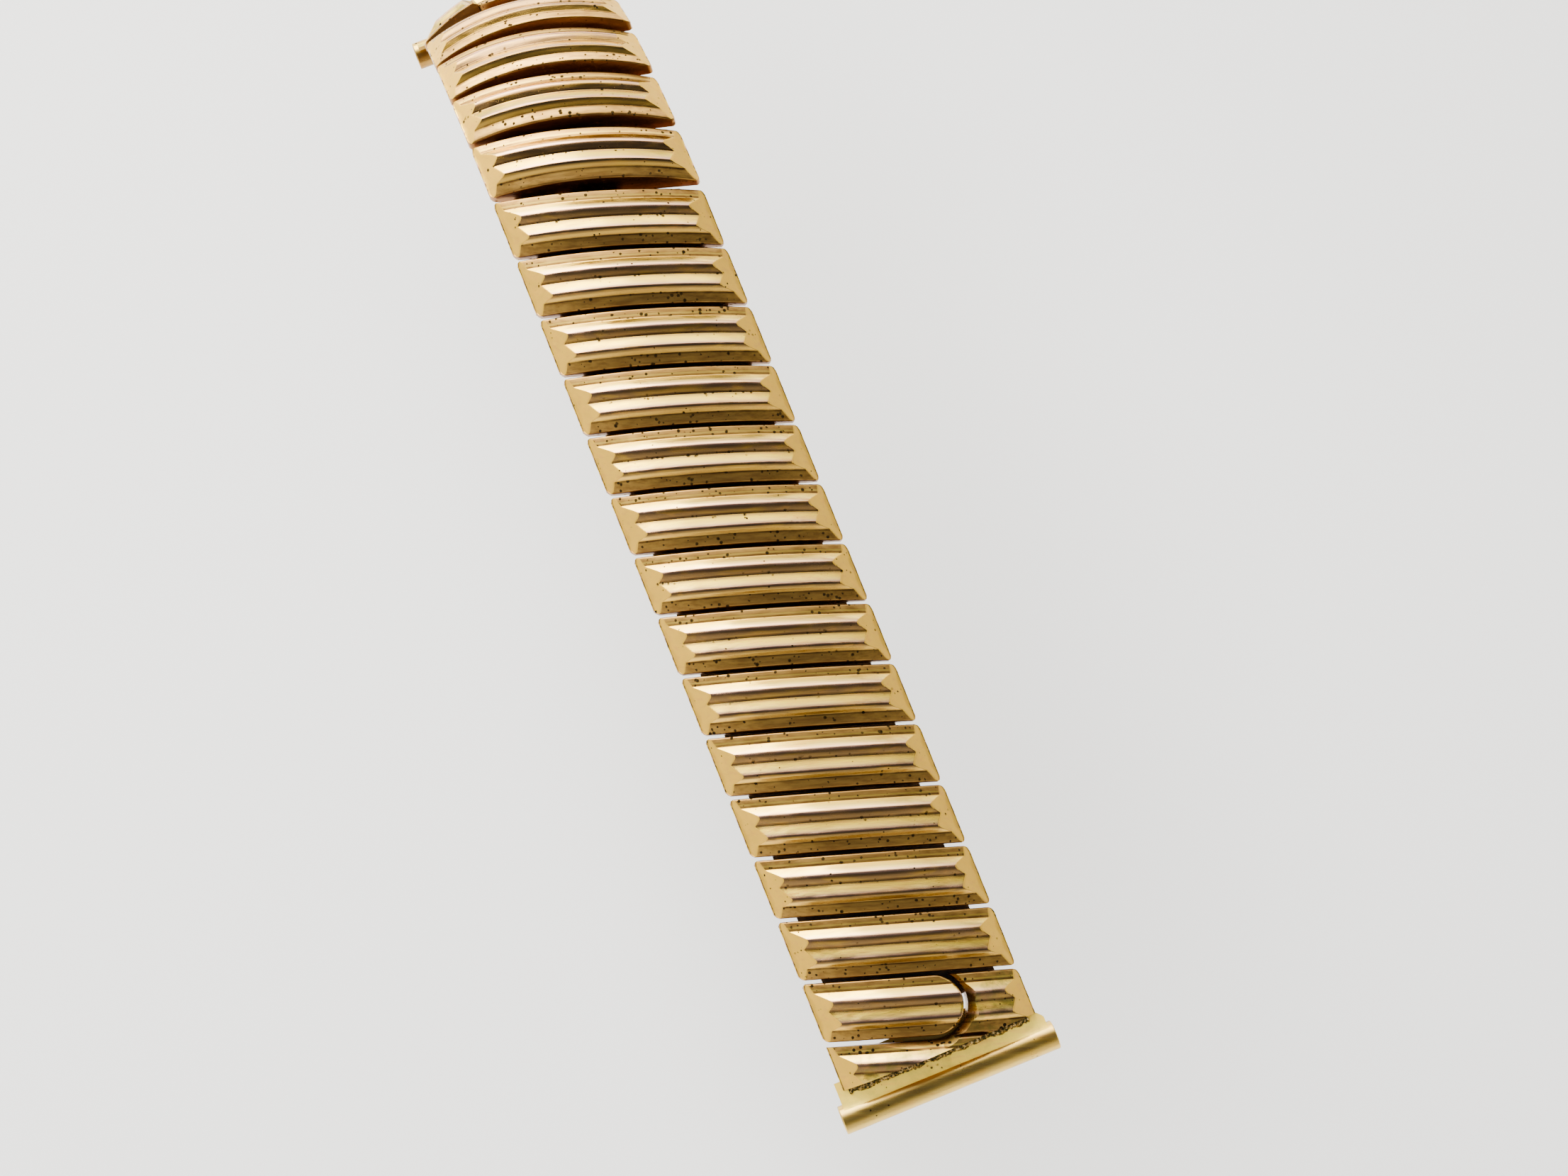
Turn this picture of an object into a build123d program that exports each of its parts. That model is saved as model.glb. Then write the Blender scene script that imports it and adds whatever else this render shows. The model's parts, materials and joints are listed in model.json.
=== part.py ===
from build123d import *
import os
from math import atan2, cos, degrees, pi, radians, sin, sqrt, tan

# An expansion watch band of slanted, ribbed links, standing as a low arch on its two lug tubes.
# Each link is a hollow ribbed shell. A flat slider runs in its floor against a bowed leaf spring,
# and the slider's far end is curled round the hinge pin of the next link, so the band stretches
# and bends between every two links. All lengths are in millimetres.
#
# Every piece is drawn in a link's own frame: X along the band, Y across it and Z outwards,
# with zero at the link's centre, on the underside of its shell.

# Band
link_count = 19
pitch = 5.15
link_gap = 0.3
band_width = 16.2
skew_angle = 17.5
crown_radius = 18.5
crown_flat_count = 14

# Motion
stroke = 2.0
crown_bend = 12.0
first_crown_hinge = 14
last_hinge = link_count

# Link shell
shell_wall = 0.25
floor_sheet = 0.2
edge_height = 2.8
step_rise = 0.15
crest_rise = 0.8
groove_rise = 0.55
step_share = 0.19
crest_share = 0.33
groove_share = 0.5
bevel_angle = 43.5
corner_cut = 0.3
cavity_margin = 1.1
cavity_shoulder_share = 0.22
cavity_flat_count = 5
top_clear = 6.0

# Hinge
pin_flat_count = 8
pin_radius = 0.17
pin_clearance = 0.03
knuckle_wall = 0.2
knuckle_width = 4.0
ear_width = 0.4
ear_clearance = 0.05
hinge_inset = 0.95
hinge_drop = 0.15

# Slider
plate_thickness = 0.2
plate_width_share = 0.8
plate_lead = 0.25
turn_clearance = 0.15
slide_clearance = 0.04
tab_thickness = 0.2
tab_start = 0.31
tab_inner_share = 0.444
tab_outer_share = 0.778
tab_neck = 0.4
tab_height = 1.05
stop_rib = 0.25

# Leaf spring
spring_thickness = 0.15
spring_height = 0.6
spring_lift = 0.15
spring_seat = 0.03
spring_flat_share = 0.3
first_spring_share = 0.123

# Pocket link and end shell
pocket_end = 3.0
pocket_gap = 0.38
pocket_rim_height = 2.2
pocket_rim_flare = 45.0
end_reach = 6.0
end_cut = 2.15
seam_overlap = 0.75
valley_drop = 0.5

# Lug tube
tube_radius = 1.15
tube_wall = 0.28
tube_length = 18.0
tube_drop = 0.1
flange_top = 0.55
flange_length = 17.2
flange_cut = 1.2
tongue_half_width = 5.0

# Worked out from the sizes above
link_length = pitch - link_gap
half_link = link_length / 2
half_width = band_width / 2
skew = tan(radians(skew_angle))
rib_direction = Vector(sin(radians(skew_angle)), cos(radians(skew_angle)), 0)
bore_radius = (pin_radius + pin_clearance) / cos(pi / pin_flat_count)
knuckle_radius = bore_radius + knuckle_wall
plate_bottom = -hinge_drop - knuckle_radius
plate_top = plate_bottom + plate_thickness
plate_half_width = half_width * plate_width_share
tab_inner = half_width * tab_inner_share
tab_outer = half_width * tab_outer_share
tab_face = -half_link + shell_wall + tab_start
ear_inner = knuckle_width / 2 + ear_clearance
ear_outer = ear_inner + ear_width
flange_bottom = flange_top - tube_wall


def crown_drop(y):
    """How far the crowned top has fallen at a distance across the band."""
    along_rib = y / cos(radians(skew_angle))
    return crown_radius - sqrt(crown_radius**2 - along_rib**2)


def slanted(u, y):
    """The point across the band at y, on the rib line that crosses the middle at u."""
    return (u + skew * y, y)


def slanted_block(u_low, u_high, y_low, y_high, z_low, z_high):
    """A block with two faces along the ribs and two along the band."""
    near = [slanted(u_low, y_low), slanted(u_high, y_low)]
    far = [slanted(u_high, y_high), slanted(u_low, y_high)]
    return Pos(0, 0, z_low) * extrude(make_face(Polyline(*near, *far, close=True)), z_high - z_low)


def square_block(x_low, x_high, y_low, y_high, z_low, z_high):
    """A plain block given by its limits."""
    block = Box(x_high - x_low, y_high - y_low, z_high - z_low, align=(Align.MIN, Align.MIN, Align.MIN))
    return Pos(x_low, y_low, z_low) * block


def rib_profile(centre):
    """The points of one link's ribbed top at the middle of the band, from its near edge to its far edge."""
    shares_and_rises = [
        (0, 0),
        (step_share, step_rise),
        (crest_share, crest_rise),
        (groove_share, groove_rise),
        (1 - crest_share, crest_rise),
        (1 - step_share, step_rise),
        (1, 0),
    ]
    near_edge = centre - half_link
    return [(near_edge + share * link_length, edge_height + rise) for share, rise in shares_and_rises]


def crown_line(reach, flats):
    """The crown along the ribs, as a number of flats whose corners lie on its arc."""
    along = [reach * (2 * corner / flats - 1) for corner in range(flats + 1)]
    return Polyline(*[(place, sqrt(crown_radius**2 - place**2) - crown_radius) for place in along])


def crowned_facet(start, end, flats):
    """The space under one lengthwise facet: an arched wall along the ribs, pushed out from start to end."""
    square_to_wall = rib_direction.cross(Vector(0, 0, 1))
    wall_plane = Plane((start[0], 0, start[1]), x_dir=rib_direction, z_dir=square_to_wall)
    crown = crown_line(half_width / cos(radians(skew_angle)) + half_link, flats)
    foot = Vector(0, -top_clear)
    sides = Polyline(crown @ 1, (crown @ 1) + foot, (crown @ 0) + foot, crown @ 0)
    push = Vector(end[0] - start[0], 0, end[1] - start[1])
    return Solid.extrude((wall_plane * make_face([crown, sides])).face(), push)


def crowned_body(profile, flats):
    """A slanted body whose top follows a profile across the link and the crown along the ribs."""
    facets = [crowned_facet(start, end, flats) for start, end in zip(profile, profile[1:])]
    return facets[0].fuse(*facets[1:])


def edge_bevels(overrun):
    """The two slopes that cut the top down to the band's edges."""
    foot = edge_height - crown_drop(half_width)
    rise = top_clear * tan(radians(bevel_angle))
    slope = [(half_width, foot), (half_width - top_clear, foot + rise), (half_width, foot + rise)]
    wedge = make_face(Plane.YZ * Polyline(*slope, close=True))
    outside = square_block(-overrun, overrun, half_width, half_width + top_clear, foot, foot + rise)
    bevel = Pos(-overrun, 0, 0) * extrude(wedge, 2 * overrun, dir=(1, 0, 0)) + outside
    return bevel + bevel.mirror(Plane.XZ)


def slanted_plan(u_low, u_high):
    """A slanted plan as wide as the band, with its four corners cut."""
    block = slanted_block(u_low, u_high, -half_width, half_width, 0, top_clear)
    return chamfer(block.edges().filter_by(Axis.Z), corner_cut)


def pocket_outline(height, gap=0.0, flare=0.0):
    """The plan of a pocket link with its rounded inner end; a gap and a flare make it the pocket's cutter."""
    radius = half_link * cos(radians(skew_angle)) + gap
    centre = rib_direction * (radius - gap - pocket_end / cos(radians(skew_angle)))
    far = centre + rib_direction * (band_width + top_clear)
    side = Vector(rib_direction.Y, -rib_direction.X, 0) * radius
    round_end = ThreePointArc(centre + side, centre - rib_direction * radius, centre - side)
    sides = Polyline(centre - side, far - side, far + side, centre + side)
    return extrude(make_face([round_end, sides]), height, taper=-flare)


def hinge_prism(x, radius, width):
    """A rod across the band at a hinge, in flats as thin sheet folds."""
    flats = RegularPolygon(radius, pin_flat_count, rotation=degrees(pi / pin_flat_count))
    return Pos(x, width / 2, -hinge_drop) * Rot(90, 0, 0) * extrude(flats, width)


def hinge_seat(side):
    """Two ears bent down from a shell's floor with the hinge pin across them, at the near or far (1) side."""
    x = side * hinge_inset
    bend = knuckle_radius * tan(pi / pin_flat_count)
    half_outline = [(knuckle_radius, 0), (knuckle_radius, -hinge_drop - bend), (bend, plate_bottom)]
    outline = half_outline + [(-across, z) for across, z in reversed(half_outline)]
    ear = extrude(make_face(Plane.XZ * Polyline(*outline, close=True)), ear_width, dir=(0, 1, 0))
    ears = Pos(x, ear_inner, 0) * ear + Pos(x, -ear_outer, 0) * ear
    return ears + hinge_prism(x, pin_radius, ear_inner + ear_outer)


def knuckle_opening(side):
    """The hole in the floor that the next piece's knuckle turns in."""
    reach = knuckle_radius + turn_clearance
    x = side * hinge_inset
    return square_block(x - reach, x + reach, -ear_inner, ear_inner, 0, floor_sheet + knuckle_radius)


def tab_window(turn):
    """The slot in the floor that one of the slider's tabs runs in."""
    y_low = tab_inner + tab_neck - slide_clearance
    y_high = tab_outer - tab_neck + slide_clearance
    low, high = sorted((turn * y_low, turn * y_high))
    u_high = tab_face + tab_thickness + stroke + slide_clearance
    return slanted_block(tab_face - slide_clearance, u_high, low, high, -hinge_drop, floor_sheet + hinge_drop)


def link_body():
    """A link's solid form: ribbed, crowned, bevelled at the band's edges and cut at its corners."""
    body = crowned_body(rib_profile(0), crown_flat_count) & slanted_plan(-half_link, half_link)
    return body - edge_bevels(band_width)


def cavity(y_low, y_high):
    """The hollow inside a shell, arched like its top."""
    inner = half_link - shell_wall
    shoulder = inner - cavity_shoulder_share * link_length
    roof = edge_height - shell_wall
    profile = [(-inner, roof), (-shoulder, roof + step_rise), (shoulder, roof + step_rise), (inner, roof)]
    limits = slanted_block(-inner, inner, y_low, y_high, floor_sheet, top_clear)
    return crowned_body(profile, cavity_flat_count) & limits


def link_shell(tab_turns):
    """A standard link's shell."""
    reach = half_width - cavity_margin
    return with_floor(link_body() - cavity(-reach, reach), (-1,), tab_turns)


def with_floor(shell, hinge_sides, tab_turns):
    """A shell with its hinge seats and tab windows."""
    for side in hinge_sides:
        shell = shell - knuckle_opening(side) + hinge_seat(side)
    for turn in tab_turns:
        shell -= tab_window(turn)
    return shell.solid()


def pocket_shell(hinge_sides, tab_turns):
    """A link whose inner end is rounded to sit in the end shell's pocket."""
    body = link_body() & pocket_outline(top_clear)
    body -= cavity(-pocket_end, half_width - cavity_margin) & pocket_outline(top_clear, -shell_wall)
    return with_floor(body, hinge_sides, tab_turns)


def knuckle(x):
    """The curl at a plate's end that turns on a hinge pin."""
    return hinge_prism(x, knuckle_radius, knuckle_width) - hinge_prism(x, bore_radius, knuckle_width)


def knuckle_neck(x_from, x_hinge):
    """The strip from a plate to its knuckle, with the rib that stops the next shell from folding back."""
    half = knuckle_width / 2
    x_ring = x_hinge - pin_radius
    neck = square_block(x_from, x_ring, -half, half, plate_bottom, plate_top)
    rib_end = x_hinge - knuckle_radius - turn_clearance
    neck += square_block(rib_end - stop_rib, rib_end, -half, half, plate_bottom, -ear_clearance)
    return neck - hinge_prism(x_hinge, bore_radius, knuckle_width)


def ear_notch(x_hinge):
    """The room that a plate leaves for the ears of the next shell to turn in."""
    reach = knuckle_radius + turn_clearance
    notch = Part()
    for turn in (-1, 1):
        low, high = sorted((turn * knuckle_width / 2, turn * (ear_outer + turn_clearance)))
        notch += square_block(x_hinge - reach, x_hinge + band_width, low, high, plate_bottom, top_clear)
    return notch


def slider_tab(turn):
    """An upright tab whose neck runs in the shell's window, with a head inside and a foot outside."""
    low, high = sorted((turn * tab_inner, turn * tab_outer))
    tab = slanted_block(tab_face, tab_face + tab_thickness, low, high, plate_bottom, tab_height)
    top = floor_sheet + slide_clearance
    for y_low, y_high in ((low, low + tab_neck), (high - tab_neck, high)):
        tab -= slanted_block(-half_link, half_link, y_low, y_high, -slide_clearance, top)
    return tab


def slider_plate(tab_turns, clear_side):
    """A slider: a slanted plate under the gap, its tabs in one shell and its knuckle in the next."""
    x_hinge = pitch - hinge_inset
    u_end = pitch - half_link + plate_lead
    plate = slanted_block(tab_face, u_end, -plate_half_width, plate_half_width, plate_bottom, plate_top)
    reach = ear_outer + turn_clearance
    x_clear = -hinge_inset + knuckle_radius + turn_clearance
    y_clear = -band_width if clear_side else -reach
    plate -= square_block(-band_width, x_clear, y_clear, reach, plate_bottom, plate_top)
    plate -= ear_notch(x_hinge)
    x_ring = x_hinge - knuckle_radius
    plate -= square_block(x_ring, x_hinge + band_width, -reach, reach, plate_bottom, plate_top)
    slider = plate + knuckle_neck(x_hinge - pitch / 2, x_hinge) + knuckle(x_hinge)
    for turn in tab_turns:
        slider += slider_tab(turn)
    return slider.solid()


def leaf_spring(low_end, y_low, y_high):
    """A flat spring: two legs from the near side, and a flat that bears on the far wall of the shell."""
    near = tab_face + tab_thickness + spring_seat
    far = half_link - shell_wall - spring_seat - spring_thickness
    middle = (y_low + y_high) / 2
    half_flat = (y_high - y_low) * spring_flat_share / 2
    inner = [(low_end, y_low), (far, middle - half_flat), (far, middle + half_flat), (near, y_high)]
    outer = [(u + spring_thickness, y) for u, y in reversed(inner)]
    outline = make_face(Polyline(*[slanted(u, y) for u, y in inner + outer], close=True))
    return (Pos(0, 0, floor_sheet + spring_lift) * extrude(outline, spring_height)).solid()


def end_shell():
    """The end shell in the pocket link's frame: two rows of ribs, the pocket, and the cut at the lug tube."""
    low_row = rib_profile(-pitch)
    valley = [(-half_link - link_gap / 2, edge_height - valley_drop)]
    body = crowned_body(low_row + valley + rib_profile(0), crown_flat_count)
    x_cut = -end_reach + end_cut
    body = (body & slanted_plan(-pitch - half_link, half_link)) - edge_bevels(band_width)
    body -= square_block(-band_width, x_cut, -band_width, band_width, 0, top_clear)
    body -= pocket_outline(top_clear, pocket_gap)
    body -= Pos(0, 0, pocket_rim_height) * pocket_outline(top_clear, pocket_gap, pocket_rim_flare)
    body -= square_block(x_cut, x_cut + seam_overlap, -band_width, band_width, 0, flange_top)
    return body.solid()


def lug_tube():
    """The lug tube in the pocket link's frame, with its flange, which folds down to a tongue and knuckle."""
    along_bore = Pos(-end_reach, 0, -tube_drop) * Rot(90, 0, 0)
    half = flange_length / 2
    x_step = -end_reach + end_cut + seam_overlap - slide_clearance
    x_fold = x_step - tube_wall
    x_tongue_end = -hinge_inset - knuckle_radius - turn_clearance
    piece = along_bore * Cylinder(tube_radius, tube_length)
    flange = square_block(-end_reach, x_step, -half, half, flange_bottom, flange_top)
    corner = flange.edges().filter_by(Axis.Z).group_by(Axis.X)[-1].sort_by(Axis.Y)[0]
    piece += chamfer(corner, flange_cut)
    half = tongue_half_width
    piece += square_block(x_fold, x_step, -half, half, plate_bottom, flange_top)
    piece += square_block(x_fold, x_tongue_end, -half, half, plate_bottom, plate_top)
    piece += knuckle_neck(x_step, -hinge_inset) + knuckle(-hinge_inset)
    piece -= along_bore * Cylinder(tube_radius - tube_wall, tube_length)
    return piece.solid()


def bend_about(x_hinge, angle):
    """The turn that a hinge under the floor gives to what comes after it."""
    return Pos(x_hinge, 0, -hinge_drop) * Rot(0, angle, 0) * Pos(-x_hinge, 0, hinge_drop)


def bend_of(hinge):
    """The bend at each hinge when the band stands as an arch: straight at first, then the crown."""
    return crown_bend if hinge >= first_crown_hinge else 0.0


def chain(start):
    """The places of all links and of the rear end, from the place of the front lug tube."""
    place = start * Pos(end_reach, 0, tube_drop) * bend_about(-hinge_inset, bend_of(0))
    places = [place]
    for link in range(1, link_count):
        place = place * Pos(pitch, 0, 0) * bend_about(-hinge_inset, bend_of(link))
        places.append(place)
    rear = place * bend_about(hinge_inset, bend_of(last_hinge)) * Rot(0, 0, 180)
    return places, rear


def standing_places():
    """The same places with the band tilted so that both lug tubes stand at one height."""
    rear_tube = (chain(Location())[1] * Pos(-end_reach, 0, -tube_drop)).position
    tilt = degrees(atan2(-rear_tube.Z, rear_tube.X))
    return chain(Rot(0, -tilt, 0))


def front_place(places):
    """The front end's place, seen from the pocket link's frame."""
    return places[0] * bend_about(-hinge_inset, -bend_of(0))


def build_all():
    """Every piece in its place, by name."""
    places, rear = standing_places()
    front = front_place(places)
    shell = link_shell((-1, 1))
    slider = slider_plate((-1, 1), False)
    spring = leaf_spring(tab_face + tab_thickness + spring_seat, tab_neck - tab_outer, tab_outer - tab_neck)
    first_shell = pocket_shell((-1,), (1,))
    last_shell = pocket_shell((-1, 1), ())
    first_slider = slider_plate((1,), True)
    first_spring = leaf_spring(tab_face, -half_width * first_spring_share, tab_outer - tab_neck)
    end = end_shell()
    tube = lug_tube()
    nodes = {"front_end_shell": front * end, "front_lug_tube": front * tube}
    for number, place in enumerate(places, start=1):
        first = number == 1
        last = number == link_count
        name = f"{number:02d}"
        link = first_shell if first else last_shell if last else shell
        nodes[f"link_{name}"] = place * (Rot(0, 0, 180) * link if last else link)
        if not last:
            nodes[f"slider_{name}"] = place * (first_slider if first else slider)
            nodes[f"leaf_spring_{name}"] = place * (first_spring if first else spring)
    nodes["rear_end_shell"] = rear * end
    nodes["rear_lug_tube"] = rear * tube
    return nodes


os.makedirs("parts", exist_ok=True)
for node_name, node_shape in build_all().items():
    export_step(node_shape, f"parts/{node_name}.step")
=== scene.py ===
"""The looks of an expansion watch band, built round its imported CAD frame.

Lengths are in millimetres, and become metres where a mesh or a place is finished.
"""
import json
from math import atan2, cos, hypot, pi, radians, sin, sqrt, tan

import bmesh
import bpy
from mathutils import Matrix, Vector, noise


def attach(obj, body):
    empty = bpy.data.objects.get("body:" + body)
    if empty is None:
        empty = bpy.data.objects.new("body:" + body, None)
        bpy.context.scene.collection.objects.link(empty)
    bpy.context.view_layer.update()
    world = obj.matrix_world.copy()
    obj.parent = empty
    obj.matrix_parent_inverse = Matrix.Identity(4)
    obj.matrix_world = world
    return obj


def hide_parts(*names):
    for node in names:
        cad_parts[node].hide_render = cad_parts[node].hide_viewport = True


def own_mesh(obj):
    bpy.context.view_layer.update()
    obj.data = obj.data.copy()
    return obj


MM = 0.001

# Band, as in the part's source
link_count = 19
pitch = 5.15
link_gap = 0.3
band_width = 16.2
skew_angle = 17.5
crown_radius = 18.5
edge_height = 2.8
bevel_angle = 43.5
hinge_inset = 0.95
hinge_drop = 0.15
pocket_end = 3.0
pocket_gap = 0.38
pocket_rim_height = 2.2
pocket_rim_flare = 45.0
end_reach = 6.0
end_cut = 2.15
seam_overlap = 0.75
valley_drop = 0.5
tube_radius = 1.15
tube_wall = 0.28
tube_length = 18.0
tube_drop = 0.1
flange_top = 0.55
flange_length = 17.2
flange_cut = 1.2

# Ribs: share of the link's length, rise above the edge, and reach of the rounded corner
rib_corners = (
    (0.0, 0.0, 0.16),
    (0.19, 0.2, 0.05),
    (0.285, 0.68, 0.2),
    (0.51, 0.34, 0.05),
    (0.66, 0.71, 0.36),
    (0.83, 0.10, 0.06),
    (1.0, 0.0, 0.16),
)
valley_radius = 0.05

# The most of a facet that a rounded corner takes
corner_share = 0.45

# Edges and slopes of the shells
plan_corner_radius = 0.42
bevel_drop = 0.15
bevel_tolerance = 0.03
bevel_tilt = 0.4
edge_radius = 0.10
rim_radius = 0.25
crease_softness = 0.035
crease_spread = 0.14
crease_offsets = (1, 0.5, 0, -0.5, -1, -2)

# Margins: inside the CAD shell's walls, and of the cutters beyond what they cut
floor_inset = 0.05
overshoot = 2.0

# How finely the meshes are drawn, how near their points are welded, and from which angle edges are sharp
corner_steps = 4
slope_steps = 4
top_steps = 30
pocket_steps = 48
longest_step = 0.25
shell_weld = 0.0005
strip_weld = 0.0001
shell_sharp_angle = 38.0
cut_sharp_angle = 30.0
solder_sharp_angle = 60.0

# Lug tube
tube_segments = 96
tube_rim = 0.06
strip_meeting_angle = 38.0
strip_steps = 12

# Bead of solder
solder_radius = 0.36
solder_shift = 0.16
solder_low_inset = 0.7
solder_high_inset = 0.4
solder_points = 160
solder_sides = 10
solder_swell = 0.95
solder_least = 0.25

# Its waves and drift: height, rate along the seam, and lane in the noise
solder_waves = ((0.5, 1.3, 1.0), (0.25, 5.0, 3.0))
solder_drift = (0.12, 0.9, 7.0)

# Its lumps: height, rate along the seam, and reach round the bead
solder_lumps = (0.35, 6.0, 2.0)

# Worked out from the sizes above
link_length = pitch - link_gap
half_link = link_length / 2
half_width = band_width / 2
skew = tan(radians(skew_angle))
skew_cos = cos(radians(skew_angle))
skew_sin = sin(radians(skew_angle))
rib_direction = Vector((skew_sin, skew_cos, 0))
bevel_slope = tan(radians(bevel_angle))
pocket_radius = half_link * skew_cos
pocket_centre = pocket_radius - pocket_end / skew_cos
cut_x = end_cut - end_reach
flange_end = cut_x + seam_overlap
near_step, _, groove, _, far_step = (corner[0] for corner in rib_corners[1:-1])


def crown_drop(y):
    """How far the crowned top has fallen at a distance across the band."""
    along_rib = y / skew_cos
    return crown_radius - sqrt(crown_radius**2 - along_rib**2)


bevel_foot = edge_height - bevel_drop - crown_drop(half_width)


def bevel_height(y):
    """The height of the band's edge slope at a distance across it."""
    return bevel_foot + (half_width - abs(y)) * bevel_slope


def crease_place(height):
    """How far across the band a rib of this height meets the edge slope."""
    level = bevel_foot + half_width * bevel_slope - height + crown_radius
    square = bevel_slope**2 + 1 / skew_cos**2
    inner = (level * bevel_slope) ** 2 - square * (level**2 - crown_radius**2)
    return (level * bevel_slope - sqrt(max(inner, 0.0))) / square


def soft_lower(first, second, softness):
    """The lower of two heights, blended where they cross."""
    share = min(max(0.5 + 0.5 * (second - first) / softness, 0.0), 1.0)
    return second + (first - second) * share - softness * share * (1 - share)


def rounded_corner(before, corner, after, radius):
    """The points of a curve that rounds a corner of the rib profile."""
    start = corner + (before - corner).normalized() * min(radius, (before - corner).length * corner_share)
    end = corner + (after - corner).normalized() * min(radius, (after - corner).length * corner_share)
    shares = [step / corner_steps for step in range(corner_steps + 1)]
    return [start * (1 - share) ** 2 + corner * 2 * share * (1 - share) + end * share**2 for share in shares]


def rib_row(centre):
    """The corners of one row of ribs, with their radii."""
    near = centre - half_link
    return [(near + share * link_length, edge_height + rise, radius) for share, rise, radius in rib_corners]


def rib_columns(rows):
    """The rounded profile of one or more rows as (u, height) points, with its outer walls at both ends."""
    corners = []
    for centre in rows:
        if corners:
            corners.append((centre - pitch / 2, edge_height - valley_drop, valley_radius))
        corners += rib_row(centre)
    points = [Vector(corner[:2]) for corner in corners]
    points = [Vector((points[0].x, 0.0))] + points + [Vector((points[-1].x, 0.0))]
    columns = [points[0]]
    for before, corner, after, (_, _, radius) in zip(points, points[1:], points[2:], corners):
        columns += rounded_corner(before, corner, after, radius)
    columns.append(points[-1])
    return divided([(point.x, point.y) for point in columns])


def divided(columns):
    """The same profile with more points on its long facets, and none added on the two outer walls."""
    result = [columns[0]]
    for (u, height), (next_u, next_height) in zip(columns, columns[1:]):
        length = hypot(next_u - u, next_height - height)
        on_wall = min(height, next_height) == 0
        pieces = 1 if on_wall else max(1, round(length / longest_step))
        for piece in range(1, pieces + 1):
            share = piece / pieces
            result.append((u + (next_u - u) * share, height + (next_height - height) * share))
    return result


def square_end(low_u, high_u):
    """The end of a rib line at the band's edge, with the plan's corners rounded."""

    def end(u):
        inset = plan_corner_radius - max(min(u - low_u, high_u - u, plan_corner_radius), 0.0)
        return half_width - plan_corner_radius + sqrt(plan_corner_radius**2 - inset**2)

    return end


def round_end(u):
    """The end of a rib line at the pocket link's round end, on the low side of the band."""
    across = min(abs(u) * skew_cos, pocket_radius)
    along = pocket_centre - sqrt(pocket_radius**2 - across**2)
    return (u * skew_sin - along) * skew_cos


def end_stations(u, height, end, bevelled, rim):
    """The (distance, height) points at one end of a rib line, from the underside up to the plain top."""
    reach = end(u)
    inner = reach - rim

    def surface(y):
        top = max(height - crown_drop(y), 0.0)
        return soft_lower(top, bevel_height(y), crease_softness) if bevelled and top > 0 else top

    crease = min(crease_place(height), inner) if bevelled else inner
    stations = [(reach, 0.0)]
    for step in range(corner_steps + 1):
        turn = pi / 2 * step / corner_steps
        stations.append((inner + rim * cos(turn), max(surface(inner) - rim * (1 - sin(turn)), 0.0)))
    distances = [inner + (crease - inner) * step / slope_steps for step in range(1, slope_steps)]
    distances += [crease + crease_spread * offset for offset in crease_offsets]
    stations += [(min(y, inner), surface(min(y, inner))) for y in sorted(distances, reverse=True)]
    return stations


def rib_line(u, height, low_side, high_side):
    """The (y, height) points of one rib line across the band, from its low edge to its high one."""
    low = end_stations(u, height, *low_side)
    high = end_stations(u, height, *high_side)
    start = -low[-1][0]
    length = high[-1][0] - start
    line = [(-y, z) for y, z in low]
    for step in range(1, top_steps):
        y = start + length * step / top_steps
        line.append((y, max(height - crown_drop(y), 0.0)))
    return line + list(reversed(high))


def shell_skin(columns, low_side, high_side):
    """A crowned, ribbed, closed shell; each side is its end, whether it is bevelled, and its rim."""
    bm = bmesh.new()
    lines = []
    for u, height in columns:
        line = rib_line(u, height, low_side, high_side)
        lines.append([bm.verts.new((u + skew * y, y, z)) for y, z in line])
    for near, far in zip(lines, lines[1:]):
        for index in range(len(near) - 1):
            bm.faces.new((near[index], far[index], far[index + 1], near[index + 1]))
    ends = [line[-1] for line in lines[1:-1]]
    starts = [line[0] for line in reversed(lines[1:-1])]
    bm.faces.new(lines[0] + ends + list(reversed(lines[-1])) + starts)
    bmesh.ops.remove_doubles(bm, verts=bm.verts, dist=shell_weld)
    bmesh.ops.recalc_face_normals(bm, faces=bm.faces)
    return bm


def ring_skin(bm, rings, looped=False, skin=0):
    """Adds rings of points joined each to the next, with a cap at both ends unless the rings form a loop."""
    made = [[bm.verts.new(point) for point in ring] for ring in rings]
    following = made[1:] + made[:1] if looped else made[1:]
    for near, far in zip(made, following):
        for index in range(len(near)):
            after = (index + 1) % len(near)
            face = bm.faces.new((near[index], near[after], far[after], far[index]))
            face.material_index = skin
    if not looped:
        bm.faces.new(list(reversed(made[0])))
        bm.faces.new(made[-1])


def placed(hinge, along, x_hinge):
    """The place whose X runs along the band and whose hinge stands at x_hinge, under the floor."""
    across = Vector((0, 1, 0))
    turn = Matrix((along, across, along.cross(across))).transposed()
    start = hinge - turn @ (Vector((x_hinge, 0, -hinge_drop)) * MM)
    return Matrix.Translation(start) @ turn.to_4x4()


def link_place(number):
    """The place of a link in the row's frame, in metres, read from the frame's joints."""
    hinge = Vector(joints["front_hinge" if number == 1 else f"hinge_{number:02d}"]["pos_m"])
    if number < link_count:
        along = Vector(joints[f"stretch_{number:02d}"]["axis"])
    else:
        along = Vector(joints["rear_hinge"]["pos_m"]) - hinge
    return placed(hinge, along.normalized(), -hinge_inset)


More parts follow.
